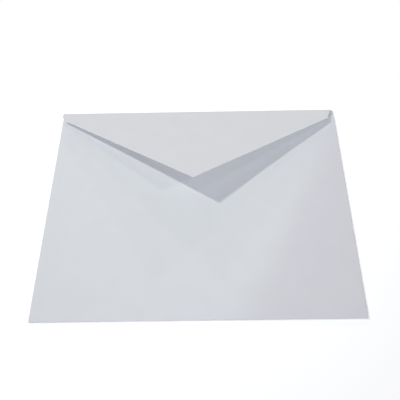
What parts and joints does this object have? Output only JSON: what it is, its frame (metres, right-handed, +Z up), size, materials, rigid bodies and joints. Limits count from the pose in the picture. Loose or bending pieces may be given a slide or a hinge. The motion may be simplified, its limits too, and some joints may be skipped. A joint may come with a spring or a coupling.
{
  "type": "paper envelope",
  "caption": "White paper note envelope lying flap side up, with a pointed flap folded over the top and standing a little open.",
  "frame": {"origin": "middle of the envelope's outline, on the surface that it lies on", "axes": "+X along the envelope's width, +Y from the bottom fold to the top fold, +Z up, away from the address side"},
  "size_m": [0.146, 0.111, 0.0131],
  "materials": {
    "paper": "matte"
  },
  "bodies": {
    "root": {"envelope": "paper"}
  },
  "joints": []
}
